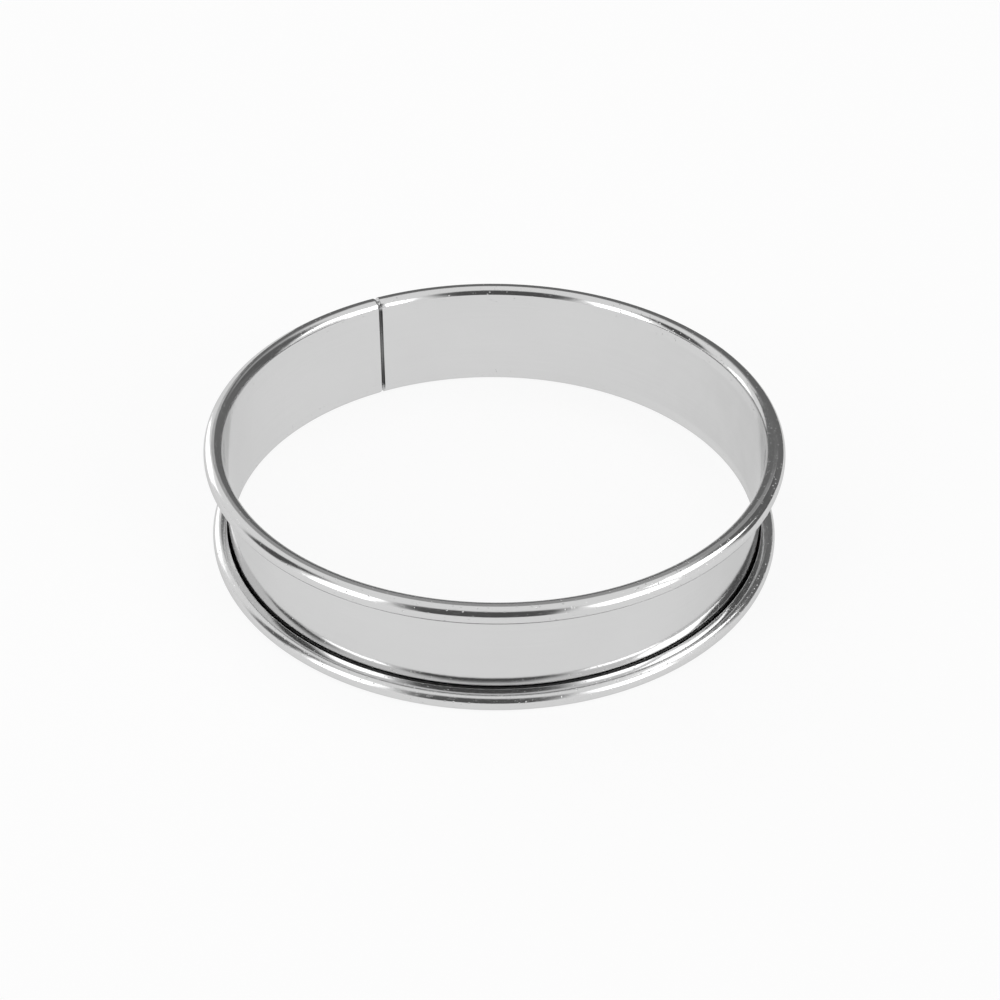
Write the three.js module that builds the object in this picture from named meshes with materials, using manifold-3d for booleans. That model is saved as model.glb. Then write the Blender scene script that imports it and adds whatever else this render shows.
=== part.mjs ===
// A tart ring: one strip of polished stainless sheet bent to a hoop. Both long edges are rolled
// outwards round a wire, and the two ends are lapped and spot welded at one upright seam.
// Millimetres, +Z up. The ring stands on its lower bead at z = 0, round the Z axis, with the
// seam at the back, on +Y.

import * as THREE from 'three';
import { LoftGeometry } from 'three/addons/geometries/LoftGeometry.js';
import { mergeVertices } from 'three/addons/utils/BufferGeometryUtils.js';
import Module from 'manifold-3d';

// Driving dimensions of the ring, over its beads
const outerDiameter = 100;
const ringHeight = 21;
const sheetThickness = 0.4;

// The wire in each bead, the room round it, and the narrow flat that the bead bears on
const wireDiameter = 2.2;
const wireClearance = 0.2;
const restFlatWidth = 0.6;

// The lap: a tongue on one end steps back by one sheet and runs on behind the other end
const lapLength = 8;
const lapClearance = 0.06;
const stepLength = 1.2;
const seamGap = 0.2;
const slitClearance = 0.1;
const wireEndGap = 1;

// The spot welds between the two layers of the lap
const weldNames = ['lower', 'middle', 'upper'];
const weldDiameter = 2.5;
const weldDepth = 0.18;
const weldClearance = 0.03;

// How finely round shapes are faceted
const hoopSteps = 64;
const lapSteps = 6;
const stepSteps = 4;
const wallSideSteps = 3;
const outerSideSteps = 7;
const wireSides = 10;
const weldSides = 16;

// The sheet is rolled round the wire, so the bead follows from both
const fullTurn = 2 * Math.PI;
const beadRadius = wireDiameter / 2 + wireClearance + sheetThickness;
const beadCentreRadius = outerDiameter / 2 - beadRadius;
const innerRadius = beadCentreRadius - beadRadius;
const flatHalfAngle = Math.asin(restFlatWidth / 2 / beadRadius);
const beadCentreHeight = beadRadius * Math.cos(flatHalfAngle);

// The slit between a bead's free edge and the wall lets the tongue of the lap through
const slitWidth = sheetThickness + lapClearance + slitClearance;
const freeEdgeAngle = Math.acos((sheetThickness + slitWidth) / beadRadius - 1);

// Places along the strip, as turns from its cut end: the hoop, the step back, then the tongue
const seamAngle = Math.PI / 2;
const lapTurn = lapLength / innerRadius;
const stepEndTurn = fullTurn - seamGap / innerRadius;
const stepStartTurn = stepEndTurn - stepLength / innerRadius;
const tongueSetBack = sheetThickness + lapClearance;

// Evenly spaced values from one number to another, both included
function spread(from, to, steps) {
  return Array.from({ length: steps + 1 }, (_, i) => THREE.MathUtils.lerp(from, to, i / steps));
}

// The strip runs clockwise from its cut end at the seam, seen from above
function pointAt(turn, radius, height) {
  const angle = seamAngle - turn;
  return new THREE.Vector3(radius * Math.cos(angle), radius * Math.sin(angle), height);
}

// A solid swept round the ring through the sections that outlineAt gives, as points (radius, height)
function sweepRound(turns, outlineAt) {
  const sections = turns.map((turn) => outlineAt(turn).map(({ x, y }) => pointAt(turn, x, y)));
  return new LoftGeometry(sections, { capStart: true, capEnd: true });
}

// Directions round the lower bead's section, where 0 points outwards and a quarter turn points up:
// from the wall down to the resting flat, and on round the outside to the free edge
function rollDirections() {
  const flatMiddle = 0.75 * fullTurn;
  const wallSide = spread(fullTurn / 2, flatMiddle - flatHalfAngle, wallSideSteps);
  const outerSide = spread(flatMiddle + flatHalfAngle, fullTurn + freeEdgeAngle, outerSideSteps);
  return [...wallSide, ...outerSide];
}

// One face of the sheet, from the upper free edge down the wall to the lower free edge
function sheetFace(rollRadius) {
  const lower = rollDirections().map((direction) => new THREE.Vector2(
    beadCentreRadius + rollRadius * Math.cos(direction),
    beadCentreHeight + rollRadius * Math.sin(direction),
  ));
  const upper = lower.map(({ x, y }) => new THREE.Vector2(x, ringHeight - y)).reverse();
  return [...upper, ...lower];
}

// The strip's cross-section, set back from the polished face of the hoop
function stripSection(setBack) {
  const polishedFace = sheetFace(beadRadius - setBack);
  const hiddenFace = sheetFace(beadRadius - setBack - sheetThickness).reverse();
  return [...polishedFace, ...hiddenFace];
}

// The whole strip: cut end, hoop, step back, and the tongue behind the cut end
function stripGeometry() {
  const cutEnd = spread(0, lapTurn, lapSteps);
  const hoop = spread(lapTurn, stepStartTurn, hoopSteps).slice(1);
  const stepBack = spread(stepStartTurn, stepEndTurn, stepSteps).slice(1);
  const tongue = cutEnd.map((turn) => turn + fullTurn);
  return sweepRound([...cutEnd, ...hoop, ...stepBack, ...tongue], (turn) => {
    const share = THREE.MathUtils.smoothstep(turn, stepStartTurn, stepEndTurn);
    return stripSection(tongueSetBack * share);
  });
}

// A wire fills its bead from the tip of the tongue round to the step
function wireGeometry(height) {
  const firstTurn = lapTurn + wireEndGap / beadCentreRadius;
  const lastTurn = stepStartTurn - wireEndGap / beadCentreRadius;
  const section = spread(0, fullTurn, wireSides).slice(1).map((direction) => new THREE.Vector2(
    beadCentreRadius + (wireDiameter / 2) * Math.cos(direction),
    height + (wireDiameter / 2) * Math.sin(direction),
  ));
  return sweepRound(spread(firstTurn, lastTurn, hoopSteps), () => section);
}

// A round nugget across the lap, melted into both sheets, with room all round where it is a pocket
function weldGeometry(room) {
  const radius = weldDiameter / 2 + room;
  const length = lapClearance + 2 * (weldDepth + room);
  return new THREE.CylinderGeometry(radius, radius, length, weldSides);
}

// The nuggets sit in the middle of the lap, evenly up the wall between the beads' free edges
function weldPlace(index) {
  const clearFrom = beadCentreHeight + beadRadius * Math.sin(freeEdgeAngle);
  const pitch = (ringHeight - 2 * clearFrom) / weldNames.length;
  const lapRadius = innerRadius + sheetThickness + lapClearance / 2;
  const place = new THREE.Object3D();
  place.position.copy(pointAt(lapTurn / 2, lapRadius, clearFrom + pitch * (index + 0.5)));
  place.rotation.z = seamAngle - lapTurn / 2 - Math.PI / 2;
  place.updateMatrix();
  return place;
}

const wasm = await Module();
wasm.setup();

// A closed geometry as a solid that can be cut
function toSolid(geometry) {
  const bare = new THREE.BufferGeometry();
  bare.setAttribute('position', geometry.getAttribute('position'));
  bare.setIndex(geometry.getIndex());
  const merged = mergeVertices(bare);
  return new wasm.Manifold(new wasm.Mesh({
    numProp: 3,
    vertProperties: new Float32Array(merged.attributes.position.array),
    triVerts: new Uint32Array(merged.index.array),
  }));
}

function toGeometry(solid) {
  const { vertProperties, triVerts } = solid.getMesh();
  const geometry = new THREE.BufferGeometry();
  geometry.setAttribute('position', new THREE.BufferAttribute(vertProperties, 3));
  geometry.setIndex(new THREE.BufferAttribute(triVerts, 1));
  geometry.computeVertexNormals();
  return geometry;
}

// The strip with a shallow pocket in both layers of the lap for each nugget
function bandGeometry() {
  const strip = toSolid(stripGeometry());
  const pocketed = weldNames.reduce((band, _, index) => {
    const pocket = weldGeometry(weldClearance).applyMatrix4(weldPlace(index).matrix);
    return band.subtract(toSolid(pocket));
  }, strip);
  return toGeometry(pocketed);
}

function steel(color, roughness) {
  return new THREE.MeshStandardMaterial({ color, roughness, metalness: 1 });
}

function named(name, geometry, material) {
  const mesh = new THREE.Mesh(geometry, material);
  mesh.name = name;
  return mesh;
}

const tartRing = new THREE.Group();

tartRing.add(named('rolled_band', bandGeometry(), steel(0xd1d1cf, 0.12)));
tartRing.add(named('lower_rim_wire', wireGeometry(beadCentreHeight), steel(0x8f8f8c, 0.4)));
tartRing.add(named('upper_rim_wire', wireGeometry(ringHeight - beadCentreHeight), steel(0x8f8f8c, 0.4)));

weldNames.forEach((height, index) => {
  const weld = named(`seam_weld_${height}`, weldGeometry(0), steel(0x77736f, 0.55));
  const place = weldPlace(index);
  weld.position.copy(place.position);
  weld.rotation.copy(place.rotation);
  tartRing.add(weld);
});

export default tartRing;
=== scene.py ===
# %% [markdown]
# A tart ring
#
# This lesson models a pastry cook's tart ring: a low hoop of polished stainless sheet without a bottom.
# The sheet's two long edges are rolled outwards round wires, so that no sharp edge is left, and its two
# ends are lapped and spot welded at one upright seam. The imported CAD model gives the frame: every piece
# made here is in metres, in its place, and stands for one CAD node.

# %% Load the frame
import math

import bmesh
import bpy
from mathutils import Matrix, Quaternion, Vector


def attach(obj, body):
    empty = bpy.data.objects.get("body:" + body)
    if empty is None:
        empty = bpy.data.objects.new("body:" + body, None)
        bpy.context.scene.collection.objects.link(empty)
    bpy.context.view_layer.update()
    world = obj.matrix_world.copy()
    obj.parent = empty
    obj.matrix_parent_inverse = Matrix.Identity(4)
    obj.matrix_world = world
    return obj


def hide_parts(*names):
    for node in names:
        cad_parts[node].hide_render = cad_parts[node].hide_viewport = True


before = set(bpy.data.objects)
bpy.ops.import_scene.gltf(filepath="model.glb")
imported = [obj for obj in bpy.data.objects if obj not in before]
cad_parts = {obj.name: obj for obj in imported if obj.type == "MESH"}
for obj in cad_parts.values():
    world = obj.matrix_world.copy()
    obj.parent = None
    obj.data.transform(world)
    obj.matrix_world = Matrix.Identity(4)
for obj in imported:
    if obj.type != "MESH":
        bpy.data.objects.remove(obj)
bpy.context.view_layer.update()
print("CAD nodes:", ", ".join(sorted(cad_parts)))

# %% [markdown]
# The ring's sizes
#
# A few real sizes drive everything else. The bead is a wire, the room round it and one sheet, so its
# radius follows from those. The sheet's polished face lies inside, on the wall, and runs on round the
# outside of both beads. The rolling tool leaves a faint crease where a bead starts. Each bead bears on a
# narrow flat, so its middle lies a little lower than a full radius.

# %% Sizes in metres
MM = 0.001
TINY = 0.001 * MM
outer_radius = 50 * MM
ring_height = 21 * MM
sheet = 0.4 * MM
wire_radius = 1.1 * MM
wire_room = 0.2 * MM
rest_flat = 0.6 * MM
crease = math.radians(14)

bead_radius = wire_radius + wire_room + sheet
bead_centre_radius = outer_radius - bead_radius
bead_centre_height = math.sqrt(bead_radius**2 - (rest_flat / 2) ** 2)
wall_radius = bead_centre_radius - bead_radius * math.cos(crease)
print(f"bead {2 * bead_radius / MM:.1f} mm, wall {2 * wall_radius / MM:.1f} mm across inside")

# %% [markdown]
# The camera
#
# The camera stands at the photograph's angle, above the ring and a little to the left of the side that
# faces the seam. Its place is given as the turn, height and distance from the ring's middle. It aims at a
# point just in front of that middle, and is rolled by half a degree, as a hand-set tripod is.

# %% Directions round the ring
view_turn = math.radians(-27.9)


def toward(turn, height):
    """The direction of something seen from the ring: turn is to the right of the camera, in degrees."""
    flat = Vector((math.sin(math.radians(turn)), -math.cos(math.radians(turn)), 0))
    level = flat * math.cos(math.radians(height)) + Vector((0, 0, math.sin(math.radians(height))))
    return Matrix.Rotation(view_turn, 3, "Z") @ level


print("towards the camera:", [round(value, 2) for value in toward(0, 0)])

# %% Place the camera
camera_height = 35.88
camera_distance = 299.9 * MM
camera_roll = math.radians(0.55)
lens_per_sensor = 1.699
aim_from_middle = Vector((1.0 * MM, -2.8 * MM, 6.7 * MM))

bpy.ops.object.select_all(action="DESELECT")
bpy.ops.object.camera_add()
camera = bpy.context.object
camera.location = Vector((0, 0, ring_height / 2)) + camera_distance * toward(0, camera_height)
aim = Matrix.Rotation(view_turn, 3, "Z") @ aim_from_middle
looking = (aim - camera.location).to_track_quat("-Z", "Y")
camera.rotation_euler = (looking @ Quaternion((0, 0, 1), camera_roll)).to_euler()
camera.data.lens = lens_per_sensor * camera.data.sensor_width
camera.data.clip_start = 10 * MM
bpy.context.scene.camera = camera
print("camera at", [round(value / MM, 1) for value in camera.location], "mm")

# %% [markdown]
# Tools for the modelling
#
# Operators work on what is selected, so each piece starts with an empty selection. In edit mode the points
# are picked in code, by their place, where a hand would drag a box round them.

# %% Pick points and finish with a modifier
def pick(test):
    """Selects the points of the mesh in edit mode whose place passes the test."""
    mesh = bpy.context.object.data
    bpy.ops.mesh.select_mode(type="VERT")
    bpy.ops.mesh.select_all(action="DESELECT")
    shape = bmesh.from_edit_mesh(mesh)
    for point in shape.verts:
        point.select = test(point.co)
    shape.select_flush_mode()
    bmesh.update_edit_mesh(mesh)


def settle(piece, name):
    """Names a new primitive, moves its place into its mesh and opens it in edit mode."""
    piece.name = name
    piece.data.name = name
    bpy.ops.object.transform_apply()
    bpy.ops.object.mode_set(mode="EDIT")
    return piece


def finish_with(piece, kind, **settings):
    """Adds a modifier to the piece and applies it."""
    modifier = piece.modifiers.new(kind.lower(), kind)
    for name, value in settings.items():
        setattr(modifier, name, value)
    bpy.context.view_layer.objects.active = piece
    bpy.ops.object.modifier_apply(modifier=modifier.name)


print(f"points are picked to within {TINY / MM:.3f} mm")

# %% [markdown]
# The sheet seen end on
#
# Seen at a cut end, the strip is an upright line with a curl at each end. The line starts as one side of a
# plane. Its two ends are then spun round the bead's middle, which is what the rolling machine does with the
# sheet's edge. A roller can't bend the last bit of an edge, so the curl is round at first, tighter on its
# outside and nearly straight at its end: three arcs that run into each other. The end stops short of the
# wall. The slit left there is just wide enough to let the other end of the strip through at the lap.

# %% Work out the arcs of a curl
lap_room = 0.01 * MM
slit = sheet + 2 * lap_room
outside_radius = 1.53 * MM
outside_turn = math.radians(93)
end_radius = 6 * MM

# Middles of the two later arcs, and the free edge, as distances outwards and inwards from the bead's middle
outside_middle = Vector((bead_radius - outside_radius, 0))
toward_end = Vector((math.cos(outside_turn), math.sin(outside_turn)))
end_middle = outside_middle + (outside_radius - end_radius) * toward_end
edge_out = wall_radius + sheet + slit - bead_centre_radius
edge_turn = math.acos((edge_out - end_middle.x) / end_radius)
edge_in = end_middle.y + end_radius * math.sin(edge_turn)
edge_height = bead_centre_height + edge_in
print(f"the free edge stops {slit / MM:.2f} mm from the wall, {edge_height / MM:.2f} mm up")

# %% Draw the profile
wall_cuts = 5
round_steps = 44
outside_steps = 20
end_steps = 8


def sheet_profile(name, roll_radius):
    """The strip's polished face as a line on the +Y side, rolled to that radius at both ends."""
    near = wall_radius + bead_radius - roll_radius
    start_turn = math.acos((bead_centre_radius - near) / roll_radius)
    roll_start = bead_centre_height - roll_radius * math.sin(start_turn)
    wall = ring_height - 2 * roll_start
    middle = Vector((0, near + wall / 2, ring_height / 2))
    bpy.ops.object.select_all(action="DESELECT")
    bpy.ops.mesh.primitive_plane_add(size=wall, location=middle, rotation=(0, math.pi / 2, 0))
    profile = settle(bpy.context.object, name)
    pick(lambda place: place.y > middle.y)
    bpy.ops.mesh.delete(type="VERT")
    bpy.ops.mesh.select_all(action="SELECT")
    bpy.ops.mesh.subdivide(number_cuts=wall_cuts)
    arcs = [
        (Vector((0, 0)), math.pi - start_turn, round_steps),
        (outside_middle, outside_turn, outside_steps),
        (end_middle, edge_turn - outside_turn, end_steps),
    ]
    for rim, way in ((0, 1), (ring_height, -1)):
        wall_end = Vector((0, near, rim + way * roll_start))
        pick(lambda place: (place - wall_end).length < TINY)
        for offset, turn, steps in arcs:
            centre = (0, bead_centre_radius + offset.x, rim + way * (bead_centre_height + offset.y))
            bpy.ops.mesh.spin(steps=steps, angle=-way * turn, center=centre, axis=(1, 0, 0))
    return profile


print("a profile is a wall with two curls of", round_steps + outside_steps + end_steps, "steps each")

# %% [markdown]
# The hoop and the tongue
#
# The hoop is the profile spun about the ring's axis, clockwise from the cut end on +Y and almost the whole
# way round. At its far end the sheet steps back by its own thickness and runs on behind the cut end, as a
# tongue. The tongue is a second, smaller profile with a short spin of its own.

# %% Work out the lap
lap_length = 8 * MM
step_length = 0.85 * MM
seam_gap = 0.12 * MM
set_back = sheet + lap_room
lap_turn = lap_length / wall_radius
gap_turn = seam_gap / wall_radius
step_turn = step_length / wall_radius


def turn_of(place):
    """How far a place is turned clockwise from +Y."""
    return math.atan2(place.x, place.y)


def spin_round(steps, turn):
    """Spins what is selected about the ring's axis, clockwise seen from above."""
    bpy.ops.mesh.spin(steps=steps, angle=turn, center=(0, 0, 0), axis=(0, 0, 1))


print(f"the tongue laps {math.degrees(lap_turn):.1f} degrees, set back by {set_back / MM:.2f} mm")

# %% Spin the hoop and the tongue
hoop_steps = 216
lap_steps = 12
crease_height = bead_centre_height - bead_radius * math.sin(crease)

band = sheet_profile("rolled_band_steel", bead_radius)
bpy.ops.mesh.select_all(action="SELECT")
spin_round(hoop_steps, 2 * math.pi - gap_turn - step_turn)
pick(lambda place: abs(min(place.z, ring_height - place.z) - crease_height) < TINY)
bpy.ops.mesh.mark_sharp()
bpy.ops.object.mode_set(mode="OBJECT")

tongue = sheet_profile("tongue", bead_radius - set_back)
bpy.ops.mesh.select_all(action="SELECT")
bpy.ops.transform.rotate(value=-gap_turn, orient_axis="Z", center_override=(0, 0, 0))
spin_round(lap_steps, gap_turn + lap_turn)
bpy.ops.object.mode_set(mode="OBJECT")
print("hoop:", len(band.data.polygons), "faces, tongue:", len(tongue.data.polygons), "faces")

# %% [markdown]
# The step between them
#
# The two sheets become one mesh, and a bridge with a few cuts makes the smooth step. Then the beads get the
# narrow flats that they bear on: what reaches past the ring's height is pressed flat, by a scale of zero.

# %% Bridge the step and flatten the beads
step_cuts = 8
near_turn = 0.1 * gap_turn

band.select_set(True)
bpy.context.view_layer.objects.active = band
bpy.ops.object.join()
bpy.ops.object.mode_set(mode="EDIT")
step_ends = (-gap_turn, -gap_turn - step_turn)
pick(lambda place: min(abs(turn_of(place) - end) for end in step_ends) < near_turn)
bpy.ops.mesh.select_mode(type="EDGE")
bpy.ops.mesh.bridge_edge_loops(number_cuts=step_cuts, interpolation="SURFACE")
pick(lambda place: place.z < 0)
bpy.ops.transform.resize(value=(1, 1, 0), center_override=(0, 0, 0))
pick(lambda place: place.z > ring_height)
bpy.ops.transform.resize(value=(1, 1, 0), center_override=(0, 0, ring_height))
bpy.ops.mesh.select_all(action="SELECT")
bpy.ops.mesh.normals_make_consistent(inside=False)
bpy.ops.object.mode_set(mode="OBJECT")
print("polished face:", len(band.data.polygons), "faces")

# %% [markdown]
# Thickness and cut edges
#
# So far the band is one face without thickness. Solidify grows it by one sheet, away from the polished
# side. The faces have to point to the polished side first, so one face of the wall is looked at and all are
# turned over if it points away from the axis. A small bevel then takes the sharpness off the cut edges.

# %% Give the sheet its thickness
edge_round = 0.06 * MM
sharp = math.radians(50)


def wall_first(face):
    """Sorts the faces of the wall, at half height, before all others."""
    return face.center.xy.length, abs(face.center.z - ring_height / 2)


wall_face = min(band.data.polygons, key=wall_first)
if wall_face.normal.xy.dot(wall_face.center.xy) > 0:
    bpy.ops.object.mode_set(mode="EDIT")
    bpy.ops.mesh.flip_normals()
    bpy.ops.object.mode_set(mode="OBJECT")
finish_with(band, "SOLIDIFY", thickness=sheet, offset=-1, use_even_offset=True)
finish_with(band, "BEVEL", width=edge_round, segments=2, limit_method="ANGLE", angle_limit=sharp)
bpy.ops.object.shade_smooth_by_angle(angle=sharp)
finish_with(band, "WEIGHTED_NORMAL", keep_sharp=True)
print("band:", len(band.data.polygons), "faces")

# %% [markdown]
# The wires in the beads
#
# A drawn wire lies in each bead and keeps it round and stiff. It is sheared off short of the lap, where the
# tongue fills the bead. A ring of points is turned to its start, spun round, and closed at both ends.

# %% Spin the wires
wire_sides = 24
wire_end_gap = 2 * MM
wire_edge = 0.15 * MM
wire_start = lap_turn + wire_end_gap / bead_centre_radius
wire_end = 2 * math.pi - gap_turn - step_turn - wire_end_gap / bead_centre_radius


def rim_wire(name, height):
    """A wire at the given height, with sheared and slightly rounded ends."""
    bpy.ops.object.select_all(action="DESELECT")
    middle = (0, bead_centre_radius, height)
    bpy.ops.mesh.primitive_circle_add(vertices=wire_sides, radius=wire_radius, location=middle)
    bpy.context.object.rotation_euler.y = math.pi / 2
    wire = settle(bpy.context.object, name)
    bpy.ops.mesh.select_all(action="SELECT")
    bpy.ops.transform.rotate(value=wire_start, orient_axis="Z", center_override=(0, 0, 0))
    spin_round(hoop_steps, wire_end - wire_start)
    for end in (wire_start, wire_end - 2 * math.pi):
        pick(lambda place: abs(turn_of(place) - end) < near_turn)
        bpy.ops.mesh.edge_face_add()
    bpy.ops.mesh.select_all(action="SELECT")
    bpy.ops.mesh.normals_make_consistent(inside=False)
    bpy.ops.object.mode_set(mode="OBJECT")
    finish_with(wire, "BEVEL", width=wire_edge, segments=2, limit_method="ANGLE", angle_limit=sharp)
    bpy.ops.object.shade_smooth_by_angle(angle=sharp)
    print(name, len(wire.data.polygons), "faces")
    return wire


lower_wire = rim_wire("lower_rim_wire_steel", bead_centre_height)
upper_wire = rim_wire("upper_rim_wire_steel", ring_height - bead_centre_height)

# %% [markdown]
# The spot welds
#
# Three spot welds hold the lap. Each is a nugget melted into both sheets. On the polished inside nothing of
# it shows, but on the outside the electrode leaves a round mark with a raised rim and a dished middle. The
# nugget is a cylinder laid on its side. Its outer end is inset for the rim, then twice more with a push
# inwards for the dish, and the nugget is turned to the middle of the lap.

# %% Model the nuggets
weld_names = ("lower", "middle", "upper")
weld_sides = 48
weld_radius = 1.25 * MM
weld_depth = 0.18 * MM
mark_rim = 0.08 * MM
mark_dish = 0.07 * MM
rim_width = 0.25 * weld_radius
rim_round = 0.6 * mark_rim
dish_steps = ((0.15 * weld_radius, 0.6 * mark_dish), (0.3 * weld_radius, 0.4 * mark_dish))
weld_inside = wall_radius + sheet - weld_depth
weld_outside = wall_radius + set_back + sheet + mark_rim
weld_pitch = (ring_height - 2 * edge_height) / len(weld_names)


def weld_nugget(name, height):
    """A round nugget across the lap, with the electrode's dished mark on its outer end."""
    bpy.ops.object.select_all(action="DESELECT")
    middle = (0, (weld_inside + weld_outside) / 2, height)
    size = {"radius": weld_radius, "depth": weld_outside - weld_inside}
    bpy.ops.mesh.primitive_cylinder_add(vertices=weld_sides, location=middle, **size)
    bpy.context.object.rotation_euler.x = math.pi / 2
    weld = settle(bpy.context.object, name)
    pick(lambda place: place.y > weld_outside - TINY)
    bpy.ops.mesh.select_mode(type="FACE")
    bpy.ops.mesh.inset(thickness=rim_width)
    for width, drop in dish_steps:
        bpy.ops.mesh.inset(thickness=width)
        bpy.ops.transform.translate(value=(0, -drop, 0))
    bpy.ops.mesh.select_all(action="SELECT")
    bpy.ops.transform.rotate(value=lap_turn / 2, orient_axis="Z", center_override=(0, 0, 0))
    bpy.ops.object.mode_set(mode="OBJECT")
    finish_with(weld, "BEVEL", width=rim_round, segments=3, limit_method="ANGLE", angle_limit=sharp)
    bpy.ops.object.shade_smooth_by_angle(angle=sharp)
    print(name, f"at {height / MM:.2f} mm, {len(weld.data.polygons)} faces")
    return weld


welds = {
    name: weld_nugget(f"seam_weld_{name}_nugget", edge_height + weld_pitch * (index + 0.5))
    for index, name in enumerate(weld_names)
}

# %% [markdown]
# Shader maths
#
# Materials are built from nodes. The class below wraps a socket, so that a formula in Python adds the Math
# nodes that it needs. One method adds any other node: its settings are set first, then its sockets.

# %% A value in a node tree
class Value:
    """A socket that takes part in formulas."""

    def __init__(self, tree, socket=None):
        self.tree = tree
        self.socket = socket

    def node(self, kind, settings=None, output=0, **sockets):
        """Adds a node and returns one of its outputs. A socket's name has _ for a space."""
        made = self.tree.nodes.new(kind)
        for name, setting in (settings or {}).items():
            setattr(made, name, setting)
        for name, value in sockets.items():
            key = int(name[1:]) if name[1:].isdigit() else name.replace("_", " ")
            if isinstance(value, Value):
                self.tree.links.new(value.socket, made.inputs[key])
            else:
                made.inputs[key].default_value = value
        return Value(self.tree, made.outputs[output])

    def other(self, output):
        """Another output of the node that this value comes from."""
        return Value(self.tree, self.socket.node.outputs[output])

    def math(self, operation, *values):
        """A Math node on this value and the other ones."""
        numbered = {f"i{index}": value for index, value in enumerate((self, *values))}
        return self.node("ShaderNodeMath", {"operation": operation}, **numbered)

    def __add__(self, other):
        return self.math("ADD", other)

    def __sub__(self, other):
        return self.math("SUBTRACT", other)

    def __rsub__(self, other):
        return (self * -1) + other

    def __mul__(self, other):
        return self.math("MULTIPLY", other)

    def __truediv__(self, other):
        return self.math("DIVIDE", other)

    __radd__ = __add__
    __rmul__ = __mul__

    def root(self):
        return self.math("SQRT")

    def fade(self, start, end):
        """0 up to start, 1 from end on, and smooth between them."""
        settings = {"interpolation_type": "SMOOTHSTEP"}
        return self.node("ShaderNodeMapRange", settings, Value=self, From_Min=start, From_Max=end)

    def between(self, start, end, soft):
        """1 between start and end, with a smooth rise and fall just inside them."""
        return self.fade(start, start + soft) * (1 - self.fade(end - soft, end))

    def grey(self):
        """This value as a grey colour."""
        return self.node("ShaderNodeCombineColor", Red=self, Green=self, Blue=self)

    def into(self, shader, name):
        """Links this value to one of the shader's sockets."""
        self.tree.links.new(self.socket, shader.inputs[name])


print("shader maths ready")

# %% Start a material
def new_material(name):
    """A material with a Principled shader: the material, the shader and a value to build on."""
    material = bpy.data.materials.new(name)
    material.use_nodes = True
    return material, material.node_tree.nodes["Principled BSDF"], Value(material.node_tree)


print("materials of the CAD nodes:", len(bpy.data.materials))

# %% [markdown]
# Places on the strip
#
# The finish follows the strip and not the room, so the materials work with the place along the strip, its
# distance from the axis and its height, all in millimetres. The angle is measured so that its jump lies at
# the seam, where the strip really ends. The distance from the nearer bead's middle tells the rolls from the
# wall.

# %% Measure places in the shader
class Strip:
    """Where a point of the strip lies, in millimetres."""

    def __init__(self, start):
        self.place = start.node("ShaderNodeTexCoord", output="Object")
        split = start.node("ShaderNodeSeparateXYZ", output="X", Vector=self.place)
        self.x = split / MM
        self.y = split.other("Y") / MM
        self.z = split.other("Z") / MM
        self.radius = (self.x * self.x + self.y * self.y).root()
        self.along = self.x.math("ARCTAN2", self.y * -1) * (wall_radius / MM)
        self.from_rim = self.z.math("MINIMUM", ring_height / MM - self.z)
        self.out = self.radius - bead_centre_radius / MM
        self.up = self.from_rim - bead_centre_height / MM
        self.from_bead = (self.out * self.out + self.up * self.up).root()
        self.seam_side = self.y.fade(0, 1)

    def streaks(self, along, across, detail):
        """Noise drawn out along the strip, by the size of its marks in millimetres."""
        parts = {"X": self.along / along, "Y": self.radius / across, "Z": self.z / across}
        spot = self.x.node("ShaderNodeCombineXYZ", **parts)
        return spot.node("ShaderNodeTexNoise", Vector=spot, Scale=1.0, Detail=detail)

    def clouds(self, size, detail):
        """Noise of the given size in millimetres."""
        return self.place.node("ShaderNodeTexNoise", Vector=self.place, Scale=1 / (size * MM), Detail=detail)


print(f"the strip is {2 * math.pi * wall_radius / MM:.0f} mm long, without its tongue")

# %% Start a steel
steel_metallic = 1


def new_steel(name):
    """A metal to finish: the material, its shader and the places on the strip to build on."""
    material, shader, start = new_material(name)
    shader.inputs["Metallic"].default_value = steel_metallic
    return material, shader, Strip(start)


def raise_by(height, depth, shader):
    """Lets a height, in units of the given depth, raise or dent the surface as bump."""
    bump = height.node("ShaderNodeBump", Height=height, Distance=depth, Strength=1.0)
    bump.into(shader, "Normal")


print("every steel starts with Metallic", steel_metallic)

# %% [markdown]
# Where the steel isn't a clear mirror
#
# The polishing wheel reaches the wall and the outside of the beads. The inside of the rolls and the throat
# of their slits stay rough, and their colour is darkened as painted shade, since little light gets in there.
# The sheared lip along a free edge stays bare, and the flank of a bead that faces the other bead is softer.
# The groove of the seam is rougher and darkened as painted shade. Each of these is a mask, which is 1 there
# and 0 elsewhere. Painting them by hand would do too, but a formula follows the sizes.

# %% Masks of the rolls
wall_back = (wall_radius + sheet) / MM
roll_inside = (bead_radius - sheet) / MM
throat_low = 1.6
throat_high = 2.7
half_lip = 0.175
flank_up = 0.5
flank_out = 0.4
flank_soft = 0.4


def inside_rolls(strip):
    """1 on the inside of the rolls and in the throat of their slits, made rougher and darkened as painted
    shade.
    """
    rolled_in = 1 - strip.from_bead.fade(roll_inside + 0.01, roll_inside + 0.06)
    at_slit = strip.from_rim.between(throat_low, throat_high, 0.3)
    in_throat = strip.radius.between(wall_back - 0.15, wall_back + 0.2, 0.1) * at_slit
    beside_seam = strip.seam_side * (1 - strip.x.math("ABSOLUTE").fade(1.0, 1.3))
    return rolled_in.math("MAXIMUM", in_throat) * (1 - beside_seam)


def bare_lip(strip):
    """1 along the free edge of each roll, where the sheet was sheared and not polished."""
    near_edge = strip.out.between(edge_out / MM - half_lip, edge_out / MM + half_lip, 0.1)
    outer_half = strip.from_bead.fade(roll_inside + 0.2, roll_inside + 0.3)
    return near_edge * strip.up.fade(edge_in / MM - 0.6, edge_in / MM - 0.4) * outer_half


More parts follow.
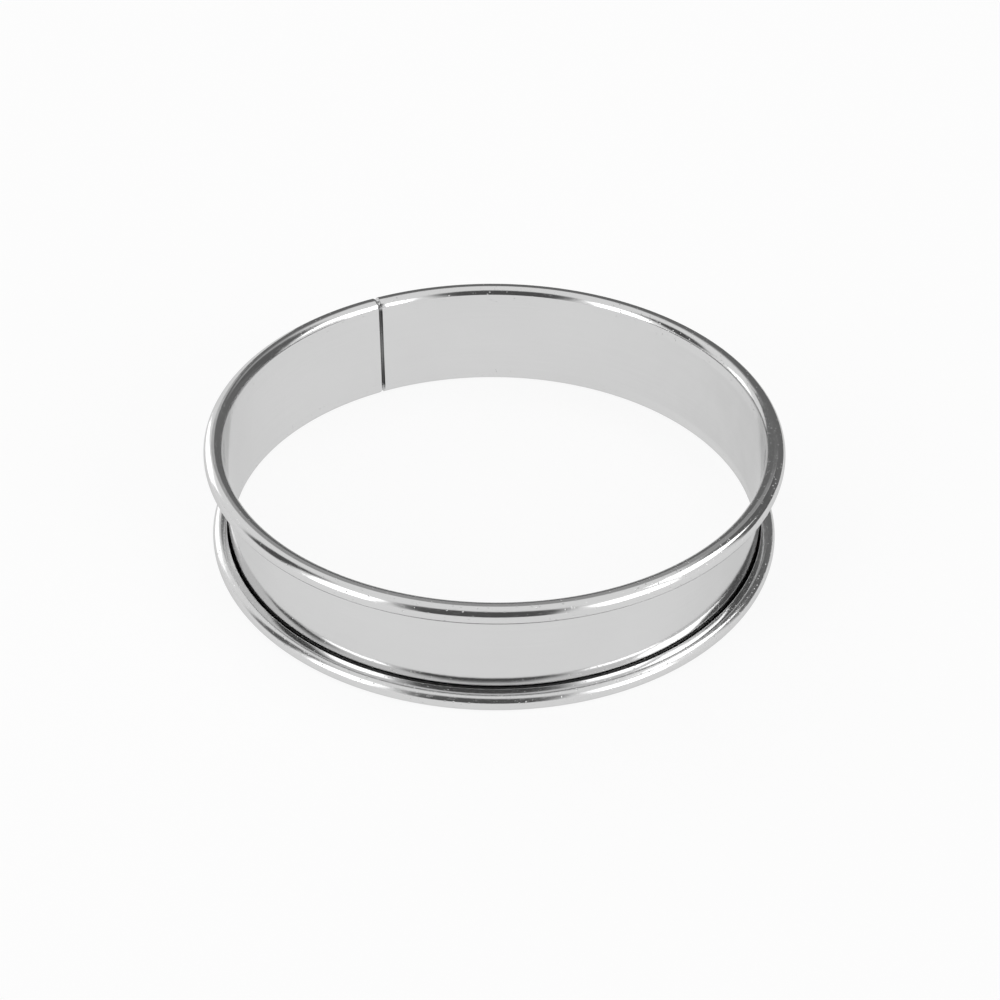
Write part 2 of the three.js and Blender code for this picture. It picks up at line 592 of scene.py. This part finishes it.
def soft_flank(strip):
    """1 on the flank of each bead that faces the other one, where the polishing wheel reaches less well."""
    return strip.up.fade(flank_up, flank_up + flank_soft) * strip.out.fade(flank_out, flank_out + flank_soft)


print(f"dull inside {roll_inside:.2f} mm from a bead's middle, bare lip {2 * half_lip:.2f} mm wide")

# %% Mask of the seam
half_height = ring_height / MM / 2
groove_width = 0.2
groove_flare = 0.25
groove_slope = 0.3
cut_edge = 0.015


# Where this mask is 1, the steel is made rougher and its colour is darkened as painted shade in the groove.
def seam_groove(strip):
    """1 at the bottom of the seam's groove, next to the cut end, and 0 up on the step."""
    from_middle = (strip.z - half_height) / half_height
    open_part = groove_width + groove_flare * from_middle * from_middle
    slope = (strip.x + open_part).fade(0, groove_slope)
    up_to_cut = 1 - strip.x.fade(cut_edge, 2 * cut_edge)
    on_wall = strip.from_rim.fade(1.4, 2.4)
    return slope * up_to_cut * strip.seam_side * on_wall


print(f"dust in {groove_width:.2f} mm of the groove, {groove_width + groove_flare:.2f} mm at the beads")

# %% [markdown]
# Marks of making and of use
#
# The heat of a spot weld leaves a dark tint round it on the outside of the lap. The beads take the knocks,
# so small nicks are sprinkled on them, with more on the side where the ring has been handled most. A field
# of cells with a dent in a few of them gives nicks that don't line up, and they go into the bump.

# %% The heat of the welds
tongue_back = (wall_radius + set_back + sheet) / MM
tint_reach = 1.9


def from_weld(strip):
    """The distance from the axis of the nearest spot weld, in weld radii."""
    aside = strip.x * math.cos(lap_turn / 2) - strip.y * math.sin(lap_turn / 2)
    above = (strip.z - edge_height / MM).math("MODULO", weld_pitch / MM) - weld_pitch / MM / 2
    return (aside * aside + above * above).root() / (weld_radius / MM)


def heat_tint(strip):
    """1 beside the spot welds on the outside of the lap, fading out round each of them."""
    outside = strip.seam_side * strip.radius.fade(tongue_back - 0.2, tongue_back - 0.1)
    on_wall = strip.from_rim.fade(2.8, 3.2)
    return (1 - from_weld(strip).fade(0.9, tint_reach)) * outside * on_wall


print(f"heat tint out to {tint_reach * weld_radius / MM:.1f} mm from a weld's axis")

# %% The nicks in the beads
nick_pitch = 0.5
handled_from = 20
handled_full = 46


def beside(strip, turn):
    """1 on the part of the ring that lies that way from its middle, fading out to both sides."""
    way = toward(turn, 0)
    return (strip.x * way.x + strip.y * way.y).fade(handled_from, handled_full)


def nicks(strip):
    """Small dents in a few of a field of cells, as depths from 0 to 1."""
    field = {"Vector": strip.place, "Scale": 1 / (nick_pitch * MM)}
    cells = strip.place.node("ShaderNodeTexVoronoi", {"feature": "F1"}, "Distance", **field)
    chance = cells.other("Color").node("ShaderNodeSeparateColor", Color=cells.other("Color"))
    crowded = strip.clouds(12, 1.0).fade(0.3, 0.6).math("MAXIMUM", beside(strip, 60))
    return (1 - cells.fade(0.05, 0.3)) * chance.fade(0.6, 0.9) * crowded


print("a nick may lie every", nick_pitch, "mm")

# %% [markdown]
# Polished stainless
#
# Stainless sheet comes from the mill with a bright finish. It mirrors the white table, so what looks light
# grey on the wall is the table, dimmed by the steel. Faint streaks run along the strip, as it came out of
# the mill. The beads are scuffed a little by the rolling tools. The colour changes hardly at all: the masks
# above dim it, those inside the rolls and in the seam's groove as painted shade, and most of the look is in
# the roughness and in a slight wave of the surface.

# %% The steel of the band
mirror_tone = 0.76
grazing_tone = 0.85
wall_rough = 0.1


def polished_steel():
    """The band's steel: an even mirror that is rough, tinted, scuffed, nicked and painted with shade in its
    places.
    """
    material, shader, strip = new_steel("polished_stainless")
    shader.inputs["Specular Tint"].default_value = (grazing_tone, grazing_tone, grazing_tone, 1)
    on_bead = 1 - strip.from_bead.fade(bead_radius / MM + 0.05, bead_radius / MM + 0.7)
    dull_and_shaded = inside_rolls(strip)
    groove_shade = seam_groove(strip)
    streak = strip.streaks(30, 0.25, 2.0)
    handled = (0.5 + strip.clouds(4, 3.0)) * beside(strip, 90) * (1 - on_bead)
    tone = mirror_tone + 0.04 * (strip.clouds(14, 3.0) - 0.5) + 0.03 * (streak - 0.5) - 0.05 * handled
    # The inside of the rolls and the seam's groove are darkened here as painted shade; the heat tint is the
    # steel's own colour.
    tone = tone * (1 - 0.9 * dull_and_shaded) * (1 - 0.8 * groove_shade) * (1 - 0.45 * heat_tint(strip))
    tone.grey().into(shader, "Base Color")
    scuff = strip.streaks(1.2, 0.3, 3.0).fade(0.5, 0.75) * on_bead
    rough = wall_rough + 0.02 * on_bead + 0.05 * (streak - 0.5) + 0.12 * scuff
    rough = rough + 0.4 * dull_and_shaded + 0.2 * groove_shade + 0.4 * bare_lip(strip) + 0.06 * soft_flank(strip)
    rough.into(shader, "Roughness")
    raise_by(0.05 * strip.clouds(6, 1.0) - 0.07 * nicks(strip) * on_bead, MM, shader)
    return material


band.data.materials.append(polished_steel())
print("polished steel on", band.name)

# %% [markdown]
# Wire and weld metal
#
# The wire is plain drawn steel and shows only through the slit. Its colour is painted dark, as the shade
# inside the bead. An electrode's mark is bright in the middle, where the tip pressed, and has dark scale
# round it, because the heat has taken the polish off.

# %% The drawn wire
def wire_steel():
    """Drawn steel, rough, painted dark as the shade inside the bead, with a fine grain."""
    material, shader, strip = new_steel("drawn_wire")
    cloud = strip.clouds(1.0, 3.0)
    # The low base colour is painted shade for the inside of the bead.
    (0.12 + 0.1 * (cloud - 0.5)).grey().into(shader, "Base Color")
    (0.45 + 0.2 * (cloud - 0.5)).into(shader, "Roughness")
    raise_by(cloud, 0.01 * MM, shader)
    return material


drawn_wire = wire_steel()
for wire in (lower_wire, upper_wire):
    wire.data.materials.append(drawn_wire)
    print("drawn wire on", wire.name)

# %% The weld metal
def weld_steel():
    """An electrode's mark: bright in the middle, with dark scale that thins out at its rim."""
    material, shader, strip = new_steel("weld_metal")
    away = from_weld(strip)
    cloud = strip.clouds(0.5, 3.0)
    scale = away.fade(0.35, 0.7) * (1 - 0.7 * away.fade(0.8, 0.95))
    (0.5 + 0.16 * (cloud - 0.5) - 0.32 * scale).grey().into(shader, "Base Color")
    (0.26 + 0.2 * (cloud - 0.5) + 0.14 * scale).into(shader, "Roughness")
    raise_by(cloud, 0.02 * MM, shader)
    return material


weld_metal = weld_steel()
for weld in welds.values():
    weld.data.materials.append(weld_metal)
    print("weld metal on", weld.name)

# %% [markdown]
# The table
#
# The ring stands on a white table. To the camera the table is white by its own glow, and only a small part
# of its brightness is lit by the tent, so that the ring's shadow stays light. In the steel it glows a
# little less. The light that it throws back on its surroundings is that of a plain white surface.

# %% The white table
table_reach = 4
table_glow = 0.86
table_in_steel = 0.72
table_colour = 0.17
table_white = 0.8

bpy.ops.object.select_all(action="DESELECT")
bpy.ops.mesh.primitive_circle_add(vertices=64, radius=table_reach, fill_type="NGON")
table = bpy.context.object
table.name = "table"
table_paint, table_shader, start = new_material("white_table")
table.data.materials.append(table_paint)
camera_sees = start.node("ShaderNodeLightPath", output="Is Camera Ray")
steel_sees = camera_sees.other("Is Glossy Ray")
lit_share = table_white - (table_white - table_colour) * (camera_sees + steel_sees)
lit_share.grey().into(table_shader, "Base Color")
(table_glow * camera_sees + table_in_steel * steel_sees).grey().into(table_shader, "Emission Color")
table_shader.inputs["Roughness"].default_value = 0.9
table_shader.inputs["Specular IOR Level"].default_value = 0
table_shader.inputs["Emission Strength"].default_value = 1
print("table", 2 * table_reach, "m across")

# %% [markdown]
# Cards and a lamp beside the ring
#
# Shiny metal shows whatever stands round it, so a photographer sets cards round it, out of the picture. A
# dark card stands behind the ring and gives the beads their dark edges. A white one beside it, on the left,
# brightens the left bead. A lamp hangs on the right, above the table. Only the steel sees them. They are
# near, so they look different from each side of the ring, which a far sky can't do.

# %% Stand the cards up
card_back = 168 * MM
lamp_aside = 182 * MM


def card(name, turn, distance, across, above, brightness):
    """A glowing upright card on one side of the ring.

    Its edges are given in millimetres: across from left to right, seen from the ring, and above the table.
    """
    stand = view_turn + math.radians(turn - 180)
    left, right = (edge * MM for edge in across)
    bottom, top = (edge * MM for edge in above)
    middle = Vector(((left + right) / 2, distance, (bottom + top) / 2))
    bpy.ops.object.select_all(action="DESELECT")
    bpy.ops.mesh.primitive_plane_add(size=1, rotation=(math.pi / 2, 0, 0))
    made = bpy.context.object
    made.name = name
    made.scale = (right - left, top - bottom, 1)
    made.location = Matrix.Rotation(stand, 3, "Z") @ middle
    made.rotation_euler.z = stand
    paint, shader, _ = new_material(name)
    shader.inputs["Base Color"].default_value = (0, 0, 0, 1)
    shader.inputs["Specular IOR Level"].default_value = 0
    shader.inputs["Emission Color"].default_value = (1, 1, 1, 1)
    shader.inputs["Emission Strength"].default_value = brightness
    made.data.materials.append(paint)
    made.visible_camera = False
    made.visible_diffuse = False
    made.visible_shadow = False
    print(f"{name}: {made.scale.x / MM:.0f} by {made.scale.y / MM:.0f} mm")


card("dark_card", 180, card_back, across=(-74, 330), above=(0, 155), brightness=0.155)
card("white_card", 180, card_back, across=(-330, -160), above=(0, 150), brightness=1.65)
card("side_lamp", 90, lamp_aside, across=(-30, 92), above=(98, 225), brightness=2.4)

# %% [markdown]
# The light tent
#
# Round the table hangs a tent of white cloth. It is the world here: a nearly white light from everywhere,
# with brighter lamps behind the cloth and darker gaps in it. Each lamp or gap is a mask with rounded corners
# round a direction. Lamp objects would light the ring as well, but a polished ring shows what it mirrors, so
# the shape of each bright or dark patch matters most.

# %% A panel of the tent
world = bpy.data.worlds.new("light_tent")
bpy.context.scene.world = world
world.use_nodes = True
sky = Value(world.node_tree)
direction = sky.node("ShaderNodeTexCoord", output="Generated")


def facing(way):
    """How far the direction of a ray faces the given way."""
    return direction.node("ShaderNodeVectorMath", {"operation": "DOT_PRODUCT"}, 1, i0=direction, i1=way)


def panel(turn, height, half_width, half_height, soft):
    """How much of a panel of the tent shows: 1 inside it and 0 outside, with angles in degrees."""
    centre = toward(turn, height)
    across = Vector((0, 0, 1)).cross(centre).normalized()
    ahead = facing(centre).math("MAXIMUM", 0.01)
    aside = facing(across) / ahead / math.tan(math.radians(half_width))
    above = facing(centre.cross(across)) / ahead / math.tan(math.radians(half_height))
    away = aside.math("POWER", 4) + above.math("POWER", 4)
    return 1 - away.root().root().fade(1 - soft, 1 + soft)


print("tent:", world.name)

# %% Light the tent
tent_light = 0.82

# Each panel's turn, height, half width, half height, softness and brightness
panels = {
    "gap behind the camera": (-4, 24, 27, 33, 0.25, 0.086),
    "gap at the back right": (125, 20, 28, 34, 0.2, 0.12),
    "dim top of the back": (178, 45, 17, 12, 0.35, 0.33),
    "gap on the left": (-88, 28, 11, 22, 0.3, 0.08),
    "left lamp": (-55, 15, 12, 24, 0.2, 2.4),
    "right lamp": (51, 13, 14, 22, 0.2, 2.4),
}
light = tent_light
for *shape, brightness in panels.values():
    light = light + (brightness - light) * panel(*shape)

to_camera = sky.node("ShaderNodeLightPath", output="Is Camera Ray")
strength = light + (1 - light) * to_camera
background = world.node_tree.nodes["Background"]
strength.into(background, "Strength")
background.inputs["Color"].default_value = (1, 1, 1, 1)
bpy.context.scene.view_settings.view_transform = "Standard"
print("tent panels:", ", ".join(panels))

# %% [markdown]
# Hand the pieces over
#
# Each piece rides on the one body that the ring has and stands for its CAD node.

# %% Ride and replace
handed = [
    (band, "rolled_band", "polished_stainless"),
    (lower_wire, "lower_rim_wire", "drawn_wire"),
    (upper_wire, "upper_rim_wire", "drawn_wire"),
]
handed += [(weld, f"seam_weld_{name}", "weld_metal") for name, weld in welds.items()]
for piece, node, slot in handed:
    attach(piece, "root")
    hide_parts(node)
print("pieces handed over:", len(handed))
